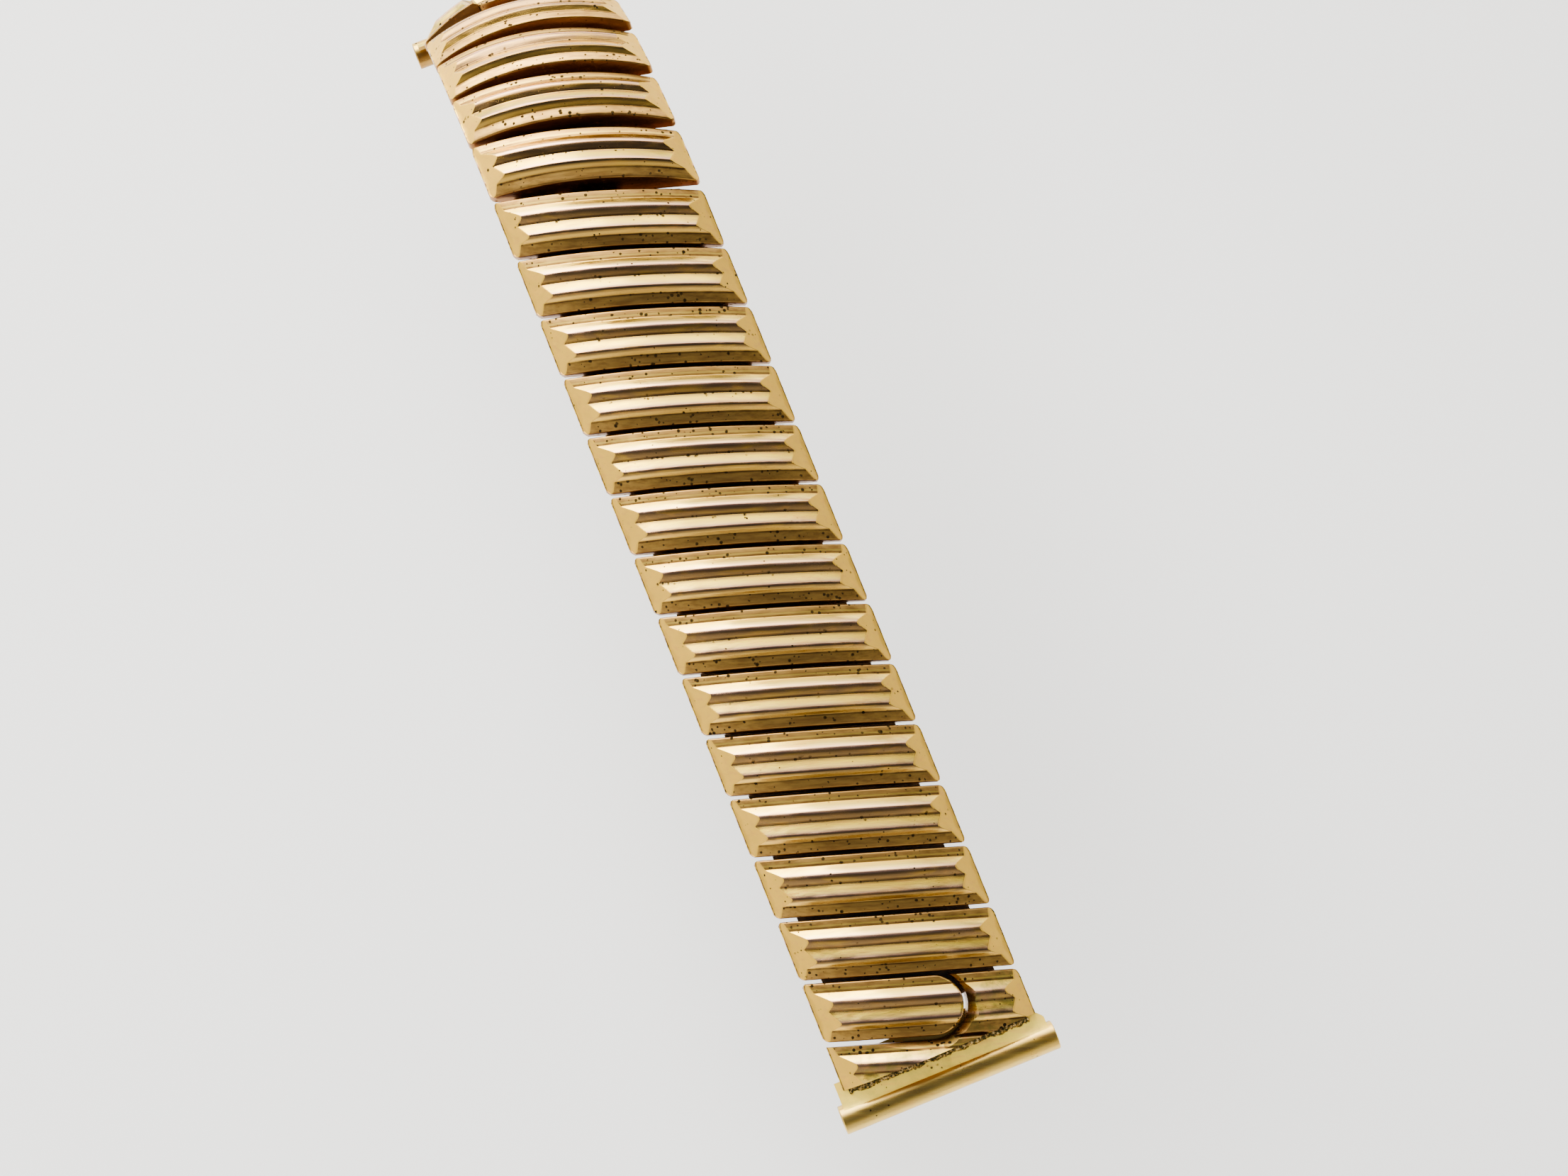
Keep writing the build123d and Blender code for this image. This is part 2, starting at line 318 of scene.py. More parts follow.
def end_place(front):
    """The place of an end piece, read from its hinge and the bore mount in its lug tube."""
    hinge = Vector(joints["front_hinge" if front else "rear_hinge"]["pos_m"])
    bore = Vector(mounts["front_lug_bore" if front else "rear_lug_bore"]["pos_m"])
    rise = atan2(tube_drop - hinge_drop, end_reach - hinge_inset)
    along = Matrix.Rotation(rise if front else -rise, 3, "Y") @ ((hinge - bore) if front else (bore - hinge))
    if front:
        return placed(hinge, along.normalized(), -hinge_inset)
    return placed(hinge, along.normalized(), hinge_inset) @ Matrix.Rotation(pi, 4, "Z")


def finished_mesh(name, bm, sharp_angle):
    """The mesh of a bmesh, in metres, smooth but for its sharp edges."""
    bmesh.ops.scale(bm, vec=(MM, MM, MM), verts=bm.verts)
    for face in bm.faces:
        face.smooth = True
    for edge in bm.edges:
        if len(edge.link_faces) != 2 or edge.calc_face_angle() > radians(sharp_angle):
            edge.smooth = False
    mesh = bpy.data.meshes.new(name)
    bm.to_mesh(mesh)
    bm.free()
    return mesh


def mark_bevels(bm):
    """Gives the flat slopes at the band's edges the second, matte material."""
    for face in bm.faces:
        centre = face.calc_center_median()
        on_slope = abs(centre.z - bevel_height(centre.y)) < bevel_tolerance
        if on_slope and min(abs(face.normal.y), face.normal.z) > bevel_tilt:
            face.material_index = 1


def add_cad_faces(bm, node_name, place, keep):
    """Adds those faces of a CAD node whose points all pass a test, in the piece's own place and unit."""
    source = frame["nodes"][node_name].data
    back = place.inverted()
    points = [(back @ vertex.co) / MM for vertex in source.vertices]
    made = {}
    for polygon in source.polygons:
        if all(keep(points[index]) for index in polygon.vertices):
            for index in polygon.vertices:
                if index not in made:
                    made[index] = bm.verts.new(points[index])
            bm.faces.new([made[index] for index in polygon.vertices])


def in_floor(point):
    """Whether a point belongs to a link's floor, ears or hollow, and not to its outside."""
    inside_walls = abs(point.x - skew * point.y) < half_link - floor_inset
    inside_edges = abs(point.y) < half_width - floor_inset
    below_top = point.z < edge_height - crown_drop(min(abs(point.y), half_width))
    return point.z < floor_inset or (inside_walls and inside_edges and below_top)


def link_mesh(name, node_name, place, pocket):
    """The mesh of a standard or a pocket link: a fine skin over the CAD shell's own floor."""
    square = (square_end(-half_link, half_link), True, edge_radius)
    low_side = (round_end, False, rim_radius) if pocket else square
    bm = shell_skin(rib_columns([0.0]), low_side, square)
    mark_bevels(bm)
    underside = max(bm.faces, key=lambda face: len(face.verts))
    bmesh.ops.delete(bm, geom=[underside], context="FACES")
    add_cad_faces(bm, node_name, place, in_floor)
    return finished_mesh(name, bm, shell_sharp_angle)


def add_skins(mesh, *skins):
    """Gives a mesh its materials; any that it has go first, with its faces' choice among them."""
    if mesh.materials:
        mesh.materials.clear()
    for skin in skins:
        mesh.materials.append(skin)


def new_piece(name, mesh, place, replaced, body):
    """A piece in its own place, which stands for a CAD node and moves with a body."""
    piece = bpy.data.objects.new(name, mesh)
    bpy.context.scene.collection.objects.link(piece)
    piece.matrix_world = place
    if replaced:
        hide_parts(replaced)
    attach(piece, body)
    return piece


def make_links(*skins):
    """All the links' shells, the standard ones sharing one mesh."""
    shared = link_mesh("standard_shell", "link_02", link_place(2), False)
    add_skins(shared, *skins)
    for number in range(1, link_count + 1):
        place = link_place(number)
        name = f"{number:02d}"
        mesh = shared
        if number == link_count:
            place = place @ Matrix.Rotation(pi, 4, "Z")
        if number in (1, link_count):
            mesh = link_mesh(f"pocket_shell_{name}", f"link_{name}", place, True)
            add_skins(mesh, *skins)
        new_piece(f"shell_{name}", mesh, place, f"link_{name}", f"link_{name}")


def spring_across(number):
    """A leaf spring's mesh, the direction across its link's ribs, and how far each point reaches that way."""
    across = link_place(number).to_3x3() @ Vector((skew_cos, -skew_sin, 0))
    mesh = frame["nodes"][f"leaf_spring_{number:02d}"].data.copy()
    return mesh, across, [vertex.co.dot(across) for vertex in mesh.vertices]


def make_springs(skin):
    """The leaf springs, each a copy of its CAD node's mesh in steel, attached to its link's body."""
    _, _, reaches = spring_across(2)
    still = Matrix.Identity(4)
    for number in range(1, link_count):
        name = f"{number:02d}"
        node_name = f"leaf_spring_{name}"
        mesh, across, reaches = spring_across(number)
        add_skins(mesh, skin)
        piece = new_piece(f"spring_{name}", mesh, still, node_name, f"link_{name}")
        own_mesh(piece)


def block(low, high):
    """A closed box between two corners."""
    bm = bmesh.new()
    size = Vector(high) - Vector(low)
    middle = (Vector(high) + Vector(low)) / 2
    bmesh.ops.create_cube(bm, size=1.0, matrix=Matrix.Translation(middle) @ Matrix.Diagonal((*size, 1)))
    return bm


def pocket_ring(z, radius):
    """The pocket's outline at one height: round on the low side, and open past the band's high edge."""
    side = Vector((rib_direction.y, -rib_direction.x, 0))
    centre = rib_direction * pocket_centre
    far = rib_direction * (band_width + overshoot)
    rise = Vector((0, 0, z))
    ring = []
    for step in range(pocket_steps + 1):
        turn = pi * step / pocket_steps
        offset = side * cos(turn) * radius - rib_direction * sin(turn) * radius
        ring.append(centre + offset + rise)
    ring.append(centre - side * radius + far + rise)
    ring.append(centre + side * radius + far + rise)
    return ring


def pocket_cutter(low, flare):
    """The pocket's space: the round link's outline with its gap, from a height up, wider towards the top."""
    bm = bmesh.new()
    rings = []
    for z in (low, edge_height + overshoot):
        rings.append(pocket_ring(z, pocket_radius + pocket_gap + (z - low) * tan(radians(flare))))
    ring_skin(bm, rings)
    bmesh.ops.recalc_face_normals(bm, faces=bm.faces)
    return bm


def cut(bm, *cutters):
    """A bmesh with some closed cutters taken out of it."""
    made = []
    for part in (bm, *cutters):
        mesh = bpy.data.meshes.new("cut_work")
        part.to_mesh(mesh)
        part.free()
        made.append(bpy.data.objects.new("cut_work", mesh))
        bpy.context.scene.collection.objects.link(made[-1])
    body = made[0]
    for cutter in made[1:]:
        step = body.modifiers.new("cut", "BOOLEAN")
        step.object = cutter
        step.operation = "DIFFERENCE"
        step.solver = "EXACT"
    result = bmesh.new()
    result.from_mesh(body.evaluated_get(bpy.context.evaluated_depsgraph_get()).to_mesh())
    for used in made:
        bpy.data.objects.remove(used)
    return result


def end_shell_mesh():
    """The end shell: two rows of ribs, cut by the pocket and along the lug tube."""
    side = (square_end(-pitch - half_link, half_link), True, edge_radius)
    bm = shell_skin(rib_columns([-pitch, 0.0]), side, side)
    mark_bevels(bm)
    corner = (-band_width, -band_width, -overshoot)
    beyond = block(corner, (cut_x, band_width, edge_height + overshoot))
    seat = block(corner, (flange_end, band_width, flange_top))
    pocket = (pocket_cutter(-overshoot, 0.0), pocket_cutter(pocket_rim_height, pocket_rim_flare))
    return finished_mesh("end_shell", cut(bm, *pocket, beyond, seat), cut_sharp_angle)


def strip_top():
    """The strip's upper side across the band: flat under the end shell, then curving up to meet the tube."""
    turn = radians(strip_meeting_angle)
    meeting = Vector((tube_radius * sin(turn) - end_reach, tube_radius * cos(turn) - tube_drop))
    corner = Vector((meeting.x + (meeting.y - flange_top) / tan(turn), flange_top))
    start = Vector((cut_x, flange_top))
    points = [(flange_end, flange_top)]
    for step in range(strip_steps + 1):
        share = step / strip_steps
        point = start * (1 - share) ** 2 + corner * 2 * share * (1 - share) + meeting * share**2
        points.append((point.x, point.y))
    return points


def strip_rings():
    """The strip's sections from under the end shell up to the lug tube, with one corner cut."""
    bottom = flange_top - tube_wall
    wall_middle = tube_radius - tube_wall / 2
    inner = sqrt(wall_middle**2 - (bottom + tube_drop) ** 2) - end_reach
    half = flange_length / 2
    rings = []
    for x, z in strip_top():
        low = -half + max(x - (flange_end - flange_cut), 0.0)
        under = max(x, inner)
        rings.append([(x, low, z), (x, half, z), (under, half, bottom), (under, low, bottom)])
    return rings


def tube_rings():
    """The circles that bound the lug tube's outside, its two rims and its bore."""
    half = tube_length / 2
    bore = tube_radius - tube_wall
    outline = [(tube_radius, half - tube_rim), (tube_radius - tube_rim, half)]
    outline += [(bore + tube_rim, half), (bore, half - tube_rim)]
    outline += [(radius, -y) for radius, y in reversed(outline)]
    turns = [2 * pi * step / tube_segments for step in range(tube_segments)]
    rings = []
    for radius, y in outline:
        rings.append([(cos(turn) * radius - end_reach, y, sin(turn) * radius - tube_drop) for turn in turns])
    return rings


def tube_mesh(place, node_name):
    """The lug tube with its strip in the second material, and the CAD node's own tongue and knuckle."""
    bm = bmesh.new()
    ring_skin(bm, tube_rings(), looped=True)
    ring_skin(bm, strip_rings(), skin=1)
    bmesh.ops.remove_doubles(bm, verts=bm.verts, dist=strip_weld)
    bmesh.ops.recalc_face_normals(bm, faces=bm.faces)
    add_cad_faces(bm, node_name, place, lambda point: point.x > flange_end - tube_wall - floor_inset)
    return finished_mesh(node_name + "_skin", bm, cut_sharp_angle)


def wave(y, height, rate, lane):
    """A smooth, uneven wave along the seam."""
    return height * noise.noise(Vector((y * rate, lane, 0.0)))


def solder_ring(y):
    """The points round the bead of solder at one place along the seam."""
    swell = solder_swell + sum(wave(y, *values) for values in solder_waves)
    middle = cut_x - solder_shift + wave(y, *solder_drift)
    height, rate, reach = solder_lumps
    ring = []
    for side in range(solder_sides):
        turn = 2 * pi * side / solder_sides
        lump = height * noise.noise(Vector((y * rate, cos(turn) * reach, sin(turn) * reach)))
        radius = solder_radius * max(swell, solder_least) * (1 + lump)
        ring.append((middle + cos(turn) * radius, y, flange_top + sin(turn) * radius))
    return ring


def solder_mesh():
    """An uneven bead of solder where the end shell meets the strip."""
    bm = bmesh.new()
    start = solder_low_inset - half_width
    length = half_width - solder_high_inset - start
    ring_skin(bm, [solder_ring(start + length * step / solder_points) for step in range(solder_points + 1)])
    bmesh.ops.recalc_face_normals(bm, faces=bm.faces)
    return finished_mesh("solder_bead", bm, solder_sharp_angle)


def make_ends(shell_skins, tube_skins, solder_skin):
    """Both end pieces: shell, lug tube and solder."""
    shell = end_shell_mesh()
    bead = solder_mesh()
    add_skins(shell, *shell_skins)
    add_skins(bead, solder_skin)
    for front, word in ((True, "front"), (False, "rear")):
        place = end_place(front)
        body = f"{word}_end"
        tube = tube_mesh(place, f"{word}_lug_tube")
        add_skins(tube, *tube_skins)
        new_piece(f"end_shell_{word}", shell, place, f"{word}_end_shell", body)
        new_piece(f"lug_tube_{word}", tube, place, f"{word}_lug_tube", body)
        new_piece(f"solder_{word}", bead, place, None, body)


# Colours
yellow_colour = (0.93, 0.53, 0.05)
dull_colour = (0.68, 0.40, 0.11)
matte_colour = (0.95, 0.57, 0.06)
lemon_colour = (0.95, 0.68, 0.07)
tube_colour = (0.95, 0.64, 0.14)
rose_colour = (0.75, 0.36, 0.08)
# The next colour is for brown blotches on the flanks, and for painted shade on the walls
brown_colour = (0.30, 0.12, 0.03)
# The next colour darkens the lines along the ribs: partly dirt, partly painted shade
line_colour = (0.06, 0.018, 0.008)
grime_colour = (0.03, 0.02, 0.008)
green_colour = (0.22, 0.21, 0.04)
# The next colour is a painted highlight along the far step
highlight_colour = (1.0, 0.70, 0.10)
dark_steel = (0.10, 0.085, 0.06)
pale_steel = (0.26, 0.22, 0.17)
floor_colour = (0.80, 0.80, 0.78)

# The gold's colour at each share of a row of ribs, with painted shade in its dark bands (0.255 to 0.30, 0.49 to
# 0.64 and at the far edge) and painted highlights in its pinkish bands (0.325, 0.66 to 0.70)
row_colours_and_shading = (
    (0.0, (0.84, 0.45, 0.09)),
    (0.19, (0.95, 0.56, 0.09)),
    (0.235, (0.86, 0.51, 0.09)),
    (0.255, (0.34, 0.21, 0.06)),
    (0.285, (0.27, 0.16, 0.06)),
    (0.30, (0.45, 0.25, 0.12)),
    (0.325, (0.94, 0.54, 0.32)),
    (0.37, (1.0, 0.68, 0.15)),
    (0.44, (0.98, 0.67, 0.055)),
    (0.46, (0.82, 0.52, 0.06)),
    (0.49, (0.54, 0.35, 0.08)),
    (0.53, (0.42, 0.24, 0.08)),
    (0.60, (0.36, 0.21, 0.08)),
    (0.64, (0.46, 0.27, 0.12)),
    (0.66, (0.90, 0.52, 0.34)),
    (0.70, (0.98, 0.60, 0.30)),
    (0.75, (1.0, 0.72, 0.17)),
    (0.80, (0.97, 0.64, 0.08)),
    (0.83, (0.80, 0.48, 0.07)),
    (0.90, (0.88, 0.50, 0.09)),
    (0.94, (0.78, 0.43, 0.08)),
    (0.98, (0.30, 0.15, 0.03)),
)

# Patterns: the noise's scale, detail and roughness, then the stops of the ramp that sharpens it
yellow_streaks = (1.6, 4.0, 0.5, (0.5, 0.0), (0.7, 0.5))
rose_stains = (2.5, 6.0, 0.6, (0.52, 0.0), (0.7, 0.5))
brown_blotches = (3.0, 6.0, 0.65, (0.42, 0.0), (0.62, 0.55))
green_patina = (0.8, 5.0, 0.6, (0.45, 0.0), (0.66, 1.0))
line_patches = (1.8, 5.0, 0.6, (0.38, 0.5), (0.58, 1.0))
solder_flecks = (
    3.5, 6.0, 0.7,
    (0.42, (0.025, 0.02, 0.008)),
    (0.49, (0.10, 0.09, 0.02)),
    (0.55, (0.40, 0.22, 0.05)),
    (0.62, (0.9, 0.7, 0.3)),
)

# Plain noises: scale, detail and roughness
plain_noise = (0.5, 4.0, 0.5)
speck_noise = (0.9, 4.0, 0.6)
rough_noise = (2.0, 6.0, 0.5)
cloud_noise = (2.0, 5.0, 0.5)
scratch_noise = (9.0, 3.0, 0.5)
steel_noise = (1.5, 4.0, 0.5)
solder_noise = (6.0, 5.0, 0.5)

# Lines along the ribs: share of the row, half width, and how dark the dark ones are; the dark lines are partly
# dirt and partly painted shade in the steps, the groove and along the links' edges
dark_lines = (
    (near_step - 0.01, 0.15, 1.0),
    (groove + 0.015, 0.11, 1.0),
    (0.0, 0.2, 1.0),
    (1.0, 0.12, 1.0),
    (far_step + 0.02, 0.12, 0.9),
)
# A painted highlight along the far step: share of the row and half width
highlight_line = (far_step + 0.06, 0.09)
groove_dirt = (groove, 0.35)

# Where the flanks begin and end
flank_fade = 0.01
flank_stops = (
    (0.0, 1.0),
    (near_step - flank_fade, 1.0),
    (near_step + flank_fade, 0.0),
    (far_step - flank_fade, 0.0),
    (far_step + flank_fade, 1.0),
)

# How far the noises are shifted from piece to piece, and how much the streaks are drawn out along the ribs
noise_spread = 400.0
streak_squeeze = 0.12

# Dots of dirt: scale of their pattern, then size and cluster ramp of the sparse and the dense ones
speck_scale = 2.2
sparse_specks = (0.3, (0.5, 0.0), (0.75, 1.0))
dense_specks = (0.34, (0.36, 0.0), (0.62, 1.0))

# Shares of colour, and how the painted shade on the walls fades as the surface turns upward
plain_shading = 0.8
dull_share = 0.6
wall_shade_strength = 0.7
wall_stops = ((0.1, 1.0), (0.35, 0.0))

# Roughness, and how much of the solder is metal
rough_places = (0.35, 0.65)
flank_roughness = 0.45
speck_roughness = 0.8
steel_roughness = 0.5
solder_roughness = 0.45
solder_metal = 0.8
floor_roughness = 0.8

# Bumps: strength and height
scratch_share = 0.6
gold_bump = (0.2, 0.02)
solder_bump = (0.8, 0.1)

# Where a mix node keeps its factor, its two colours and its result
mix_inputs = (0, 6, 7)
mix_output = 2


def material(name, build, **values):
    """A new node material, filled by its build function."""
    made = bpy.data.materials.new(name)
    made.use_nodes = True
    build(made.node_tree, **values)
    return made


def shade(value):
    """A grey or a colour with its alpha."""
    return (*value, 1) if isinstance(value, (tuple, list)) else (value, value, value, 1)


def plug(tree, socket, value):
    """Links a node's input to another node's output, or sets it to a plain number or colour."""
    if isinstance(value, bpy.types.NodeSocket):
        tree.links.new(value, socket)
    elif socket.type == "RGBA":
        socket.default_value = shade(value)
    else:
        socket.default_value = value


def plug_all(tree, node, **inputs):
    """Links or sets some of a node's inputs; underscores in their names stand for spaces."""
    for name, value in inputs.items():
        plug(tree, node.inputs[name.replace("_", " ")], value)
    return node


def shader(tree, kind, **inputs):
    """A new node with some of its inputs linked or set."""
    return plug_all(tree, tree.nodes.new(kind), **inputs)


def coat(tree, **inputs):
    """Links or sets some inputs of a material's surface."""
    plug_all(tree, tree.nodes["Principled BSDF"], **inputs)


def maths(tree, operation, first, second=0.0):
    """A sum, product or other plain operation on two values or sockets."""
    made = tree.nodes.new("ShaderNodeMath")
    made.operation = operation
    plug(tree, made.inputs[0], first)
    plug(tree, made.inputs[1], second)
    return made.outputs[0]


def times(tree, first, second):
    """The product of two values or sockets."""
    return maths(tree, "MULTIPLY", first, second)


def noise_of(tree, source, scale, detail, roughness):
    """A noise over a vector."""
    made = shader(tree, "ShaderNodeTexNoise", Vector=source, Scale=scale, Detail=detail, Roughness=roughness)
    return made.outputs["Fac"]


def ramp_of(tree, source, *stops):
    """A colour ramp over a value, from (position, grey or colour) stops."""
    made = tree.nodes.new("ShaderNodeValToRGB")
    elements = made.color_ramp.elements
    while len(elements) < len(stops):
        elements.new(0.5)
    for element, (position, colour) in zip(elements, stops):
        element.position = position
        element.color = shade(colour)
    plug(tree, made.inputs["Fac"], source)
    return made.outputs["Color"]


def pattern(tree, source, scale, detail, roughness, *stops):
    """A noise over a vector, sharpened by a ramp."""
    return ramp_of(tree, noise_of(tree, source, scale, detail, roughness), *stops)


def mixed(tree, factor, low, high, blend="MIX"):
    """Two greys or colours mixed by a factor; each may be a socket or plain."""
    made = tree.nodes.new("ShaderNodeMix")
    made.data_type = "RGBA"
    made.blend_type = blend
    for index, value in zip(mix_inputs, (factor, low, high)):
        plug(tree, made.inputs[index], value)
    return made.outputs[mix_output]


def bump_of(tree, height, strength, distance):
    """A bumped normal from a height."""
    made = shader(tree, "ShaderNodeBump", Strength=strength, Distance=distance * MM, Height=height)
    return made.outputs["Normal"]


def piece_vectors(tree):
    """How far across its row of ribs a point lies, its noise place, and one drawn out along the ribs."""
    place = tree.nodes.new("ShaderNodeTexCoord").outputs["Object"]
    scaled = tree.nodes.new("ShaderNodeVectorMath")
    scaled.operation = "SCALE"
    plug(tree, scaled.inputs["Scale"], 1 / MM)
    plug(tree, scaled.inputs[0], place)
    parts = shader(tree, "ShaderNodeSeparateXYZ", Vector=scaled.outputs[0])
    across = maths(tree, "SUBTRACT", parts.outputs["X"], times(tree, parts.outputs["Y"], skew))
    row = maths(tree, "WRAP", across, pitch / 2)
    plug(tree, row.node.inputs[2], -pitch / 2)
    offset = times(tree, tree.nodes.new("ShaderNodeObjectInfo").outputs["Random"], noise_spread)
    cloud = tree.nodes.new("ShaderNodeVectorMath")
    cloud.operation = "ADD"
    plug(tree, cloud.inputs[0], scaled.outputs[0])
    plug(tree, cloud.inputs[1], offset)
    shifted = maths(tree, "ADD", across, offset)
    along = times(tree, parts.outputs["Y"], streak_squeeze)
    streak = shader(tree, "ShaderNodeCombineXYZ", X=shifted, Y=along, Z=parts.outputs["Z"])
    return row, cloud.outputs[0], streak.outputs[0]


def line_mask(tree, row, share, width):
    """White along the line of a row of ribs at this share of its length."""
    distance = maths(tree, "ABSOLUTE", maths(tree, "SUBTRACT", row, (share - 0.5) * link_length))
    mask = maths(tree, "SUBTRACT", 1.0, maths(tree, "DIVIDE", distance, width))
    return maths(tree, "MAXIMUM", mask, 0.0)


def share_ramp(tree, row, *stops):
    """A ramp over the share across a row of ribs."""
    share = maths(tree, "ADD", maths(tree, "DIVIDE", row, link_length), 0.5)
    return ramp_of(tree, share, *stops)


def gold_colour_and_shading(tree, row, cloud, streak, flank, plain_colour):
    """The gold's colour with its yellow and reddish streaks and its dull, blotchy flanks; a row's own colours also
    hold painted shade and painted highlights across the ribs.
    """
    if plain_colour:
        darker = [part * plain_shading for part in plain_colour]
        base = mixed(tree, noise_of(tree, cloud, *plain_noise), plain_colour, darker)
    else:
        # A row's ramp paints shade and highlights across the ribs, besides the gold's own colour
        base = share_ramp(tree, row, *row_colours_and_shading)
    base = mixed(tree, pattern(tree, streak, *yellow_streaks), base, yellow_colour)
    base = mixed(tree, pattern(tree, streak, *rose_stains), base, rose_colour)
    base = mixed(tree, times(tree, flank, dull_share), base, dull_colour)
    blotches = times(tree, flank, pattern(tree, streak, *brown_blotches))
    return mixed(tree, blotches, base, brown_colour)


def line_dirt_and_shade(tree, row, streak):
    """White along the dark lines of the ribs, in patches: partly dirt, partly painted shade in the steps, the
    groove and along the links' edges.
    """
    lines = 0.0
    for share, width, depth in dark_lines:
        lines = maths(tree, "MAXIMUM", lines, times(tree, line_mask(tree, row, share, width), depth))
    return times(tree, lines, pattern(tree, streak, *line_patches))


def speck_dirt(tree, row, cloud, flank):
    """White on dots of dirt in clusters, denser on the flanks and near the groove."""
    dots = shader(tree, "ShaderNodeTexVoronoi", Vector=cloud, Scale=speck_scale).outputs["Distance"]
    clusters = noise_of(tree, cloud, *speck_noise)
    specks = []
    for size, *stops in (sparse_specks, dense_specks):
        reach = times(tree, ramp_of(tree, clusters, *stops), size)
        specks.append(maths(tree, "LESS_THAN", dots, reach))
    dirty = maths(tree, "MAXIMUM", flank, line_mask(tree, row, *groove_dirt))
    return mixed(tree, dirty, *specks)


def wall_shade(tree):
    """Nearly white on the walls, where the surface no longer faces up: where shade is painted in brown."""
    normal = tree.nodes.new("ShaderNodeTexCoord").outputs["Normal"]
    upward = shader(tree, "ShaderNodeSeparateXYZ", Vector=normal).outputs["Z"]
    return times(tree, ramp_of(tree, upward, *wall_stops), wall_shade_strength)


def gold_nodes(tree, wear, green, rough, metal, plain_colour=None):
    """Worn gold in a plain colour or a row's own colours, which hold painted shade and highlights, with dark lines
    that are partly dirt and partly painted shade, a painted highlight line, specks, streaks, patina and painted
    shade on the walls.
    """
    row, cloud, streak = piece_vectors(tree)
    flank = times(tree, share_ramp(tree, row, *flank_stops), wear)
    specks = speck_dirt(tree, row, cloud, flank)
    base = gold_colour_and_shading(tree, row, cloud, streak, flank, plain_colour)
    base = mixed(tree, times(tree, pattern(tree, cloud, *green_patina), green), base, green_colour)
    # Dark lines along the ribs: partly dirt, partly painted shade
    base = mixed(tree, times(tree, line_dirt_and_shade(tree, row, streak), wear), base, line_colour)
    # A painted highlight along the far step
    base = mixed(tree, times(tree, line_mask(tree, row, *highlight_line), wear), base, highlight_colour)
    base = mixed(tree, specks, base, grime_colour)
    # Painted shade on the walls, where they no longer face up
    base = mixed(tree, wall_shade(tree), base, brown_colour)
    roughness = pattern(tree, streak, *rough_noise, *zip(rough_places, rough))
    roughness = mixed(tree, times(tree, flank, dull_share), roughness, flank_roughness)
    roughness = mixed(tree, specks, roughness, speck_roughness)
    clouds = noise_of(tree, cloud, *cloud_noise)
    height = mixed(tree, scratch_share, clouds, noise_of(tree, streak, *scratch_noise))
    bump = bump_of(tree, height, *gold_bump)
    coat(tree, Base_Color=base, Metallic=metal, Roughness=roughness, Normal=bump)


def steel_nodes(tree):
    """Dull, dirty steel of the sliders and springs."""
    _, cloud, _ = piece_vectors(tree)
    base = mixed(tree, noise_of(tree, cloud, *steel_noise), dark_steel, pale_steel)
    coat(tree, Base_Color=base, Metallic=1.0, Roughness=steel_roughness)


def solder_nodes(tree):
    """Old solder: lumpy, greenish black with bright yellow and red-brown flecks."""
    _, cloud, _ = piece_vectors(tree)
    base = pattern(tree, cloud, *solder_flecks)
    bump = bump_of(tree, noise_of(tree, cloud, *solder_noise), *solder_bump)
    coat(tree, Base_Color=base, Metallic=solder_metal, Roughness=solder_roughness, Normal=bump)


def floor_nodes(tree):
    """The floor's pale, dull paint."""
    coat(tree, Base_Color=floor_colour, Roughness=floor_roughness)


# Camera, fitted to the corners of the links in the photograph
camera_position = Vector((-21.27, 15.285, 229.27))
camera_forward = Vector((0.264495, -0.075749, -0.961407))
camera_up = Vector((0.890382, -0.363804, 0.273619))
focal_pixels = 4101.6
image_width = 2212.0
sensor_width = 36.0
nearest_view = 5.0
farthest_view = 10000.0

# Floor, far enough down for the band to curl up above it
floor_drop = 55.0
floor_reach = 3000.0

# Lamps: name, place, size, surface brightness, colour, and whether metal mirrors them
lamp_aim = (45, 0, 5)
lamps = (
    ("key", (330, 90, 190), 280, 9.0, (1.0, 0.97, 0.92), True),
    ("fill", (0, 110, 590), 500, 11.0, (1.0, 1.0, 1.0), False),
)

# Sky: its level by height, the glow towards the band's far end by direction, and what dims each of them
sky_strength = 10.0
warm = (1.0, 0.97, 0.93)
cool = (1.0, 1.02, 1.3)
sky_levels = (
    (0.0, 1.1, warm),
    (0.3, 1.0, warm),
    (0.5, 0.6, warm),
    (0.68, 0.22, warm),
    (0.86, 0.11, cool),
    (1.0, 0.13, cool),
)
glow_levels = (
    (0.3, 0.0, warm),
    (0.4, 0.8, warm),
    (0.48, 2.0, warm),
    (0.56, 3.6, warm),
    (0.66, 4.6, warm),
    (0.78, 4.2, warm),
    (0.88, 3.2, warm),
    (1.0, 3.0, warm),
)
glow_heights = ((0.0, 1.0), (0.034, 0.7), (0.1, 0.22), (0.14, 0.05), (0.3, 0.4), (0.5, 1.0))
side_shift = 0.75
side_levels = ((0.0, 0.35), (0.35, 1.0))


def make_camera():
    """The photograph's viewpoint."""
    lens = bpy.data.cameras.new("camera")
    lens.sensor_width = sensor_width
    lens.lens = sensor_width * focal_pixels / image_width
    lens.clip_start = nearest_view * MM
    lens.clip_end = farthest_view * MM
    camera = bpy.data.objects.new("camera", lens)
    bpy.context.scene.collection.objects.link(camera)
    right = camera_forward.cross(camera_up).normalized()
    up = right.cross(camera_forward).normalized()
    turn = Matrix((right, up, -camera_forward.normalized())).transposed()
    camera.matrix_world = Matrix.Translation(camera_position * MM) @ turn.to_4x4()
    bpy.context.scene.camera = camera


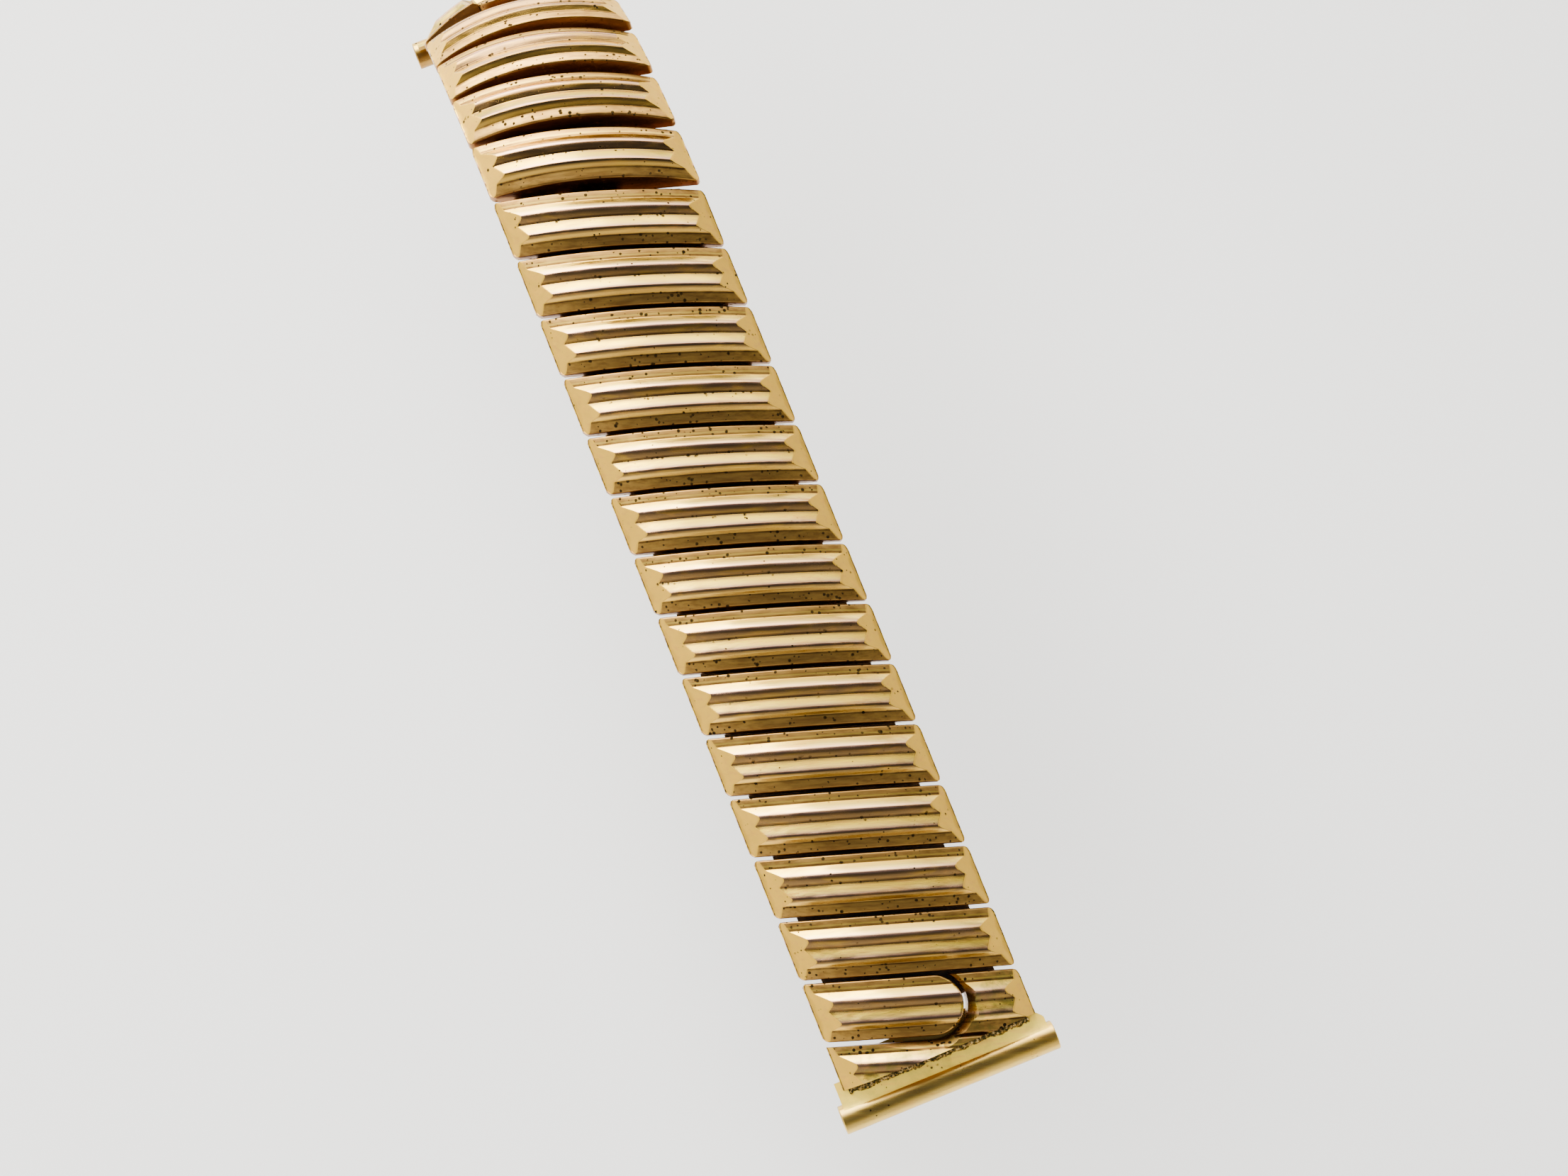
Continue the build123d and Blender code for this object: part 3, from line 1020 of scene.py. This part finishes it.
def area_light(name, position, size, brightness, colour, mirrored):
    """A square softbox of a given surface brightness that faces the band; metal mirrors it or not."""
    lamp = bpy.data.lights.new(name, "AREA")
    lamp.size = size * MM
    lamp.energy = brightness * pi * lamp.size**2
    lamp.color = colour
    made = bpy.data.objects.new(name, lamp)
    bpy.context.scene.collection.objects.link(made)
    facing = (Vector(lamp_aim) - Vector(position)).to_track_quat("-Z", "Y")
    made.matrix_world = Matrix.Translation(Vector(position) * MM) @ facing.to_matrix().to_4x4()
    made.visible_glossy = mirrored


def sky_ramp(tree, source, levels):
    """A ramp of tinted brightnesses, as shares of the sky's strength."""
    stops = []
    for position, level, tint in levels:
        stops.append((position, tuple(level / sky_strength * part for part in tint)))
    return ramp_of(tree, source, *stops)


def sky_nodes(tree):
    """A studio that is dim overhead, brighter all round, and very bright towards the band's far end."""
    direction = tree.nodes.new("ShaderNodeTexCoord").outputs["Generated"]
    parts = shader(tree, "ShaderNodeSeparateXYZ", Vector=direction).outputs
    side = ramp_of(tree, maths(tree, "ADD", parts["Y"], side_shift), *side_levels)
    side.node.color_ramp.interpolation = "EASE"
    level = mixed(tree, 1.0, sky_ramp(tree, parts["Z"], sky_levels), side, "MULTIPLY")
    fade = ramp_of(tree, parts["Z"], *glow_heights)
    glow = mixed(tree, 1.0, sky_ramp(tree, parts["X"], glow_levels), fade, "MULTIPLY")
    background = tree.nodes["Background"]
    plug(tree, background.inputs["Color"], mixed(tree, 1.0, level, glow, "ADD"))
    plug(tree, background.inputs["Strength"], sky_strength)


def make_floor():
    """A plain pale floor."""
    reach = floor_reach * MM
    height = -floor_drop * MM
    corners = ((-reach, -reach), (reach, -reach), (reach, reach), (-reach, reach))
    mesh = bpy.data.meshes.new("floor")
    mesh.from_pydata([(x, y, height) for x, y in corners], [], [(0, 1, 2, 3)])
    add_skins(mesh, material("floor", floor_nodes))
    floor = bpy.data.objects.new("floor", mesh)
    bpy.context.scene.collection.objects.link(floor)


def make_studio():
    """The floor, the sky and the lamps."""
    make_floor()
    world = bpy.data.worlds.new("studio")
    world.use_nodes = True
    sky_nodes(world.node_tree)
    bpy.context.scene.world = world
    for lamp in lamps:
        area_light(*lamp)


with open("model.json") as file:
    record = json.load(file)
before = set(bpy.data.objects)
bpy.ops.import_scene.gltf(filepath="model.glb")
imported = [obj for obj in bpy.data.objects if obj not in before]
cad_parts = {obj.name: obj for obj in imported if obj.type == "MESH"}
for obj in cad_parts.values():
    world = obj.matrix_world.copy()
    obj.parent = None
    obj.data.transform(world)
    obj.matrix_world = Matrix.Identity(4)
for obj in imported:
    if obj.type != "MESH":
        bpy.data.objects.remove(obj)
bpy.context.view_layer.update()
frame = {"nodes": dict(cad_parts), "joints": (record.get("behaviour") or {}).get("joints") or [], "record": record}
joints = {joint["name"]: joint for joint in frame["joints"]}
mounts = {mount["name"]: mount for mount in frame["record"]["mounts"]}
# The wear value sets the dull flanks and specks, and also the painted shade of the dark lines and the painted
# highlight line
rib_gold = material("worn_gold", gold_nodes, wear=0.9, green=0.0, rough=(0.14, 0.30), metal=1.0)
bevel_gold = material(
    "matte_gold", gold_nodes, wear=0.0, green=0.0, rough=(0.42, 0.55), metal=0.87, plain_colour=matte_colour
)
end_gold = material("end_gold", gold_nodes, wear=1.0, green=0.65, rough=(0.18, 0.36), metal=1.0)
tube_gold = material(
    "tube_gold", gold_nodes, wear=0.0, green=0.05, rough=(0.24, 0.38), metal=1.0, plain_colour=tube_colour
)
strip_gold = material(
    "strip_gold", gold_nodes, wear=0.0, green=0.3, rough=(0.4, 0.55), metal=0.5, plain_colour=lemon_colour
)
steel = material("dull_steel", steel_nodes)
solder = material("old_solder", solder_nodes)
for node_name, cad_node in frame["nodes"].items():
    if node_name.startswith("slider"):
        add_skins(cad_node.data, steel)
make_links(rib_gold, bevel_gold)
make_ends((end_gold, bevel_gold), (tube_gold, strip_gold), solder)
make_springs(steel)
make_camera()
make_studio()
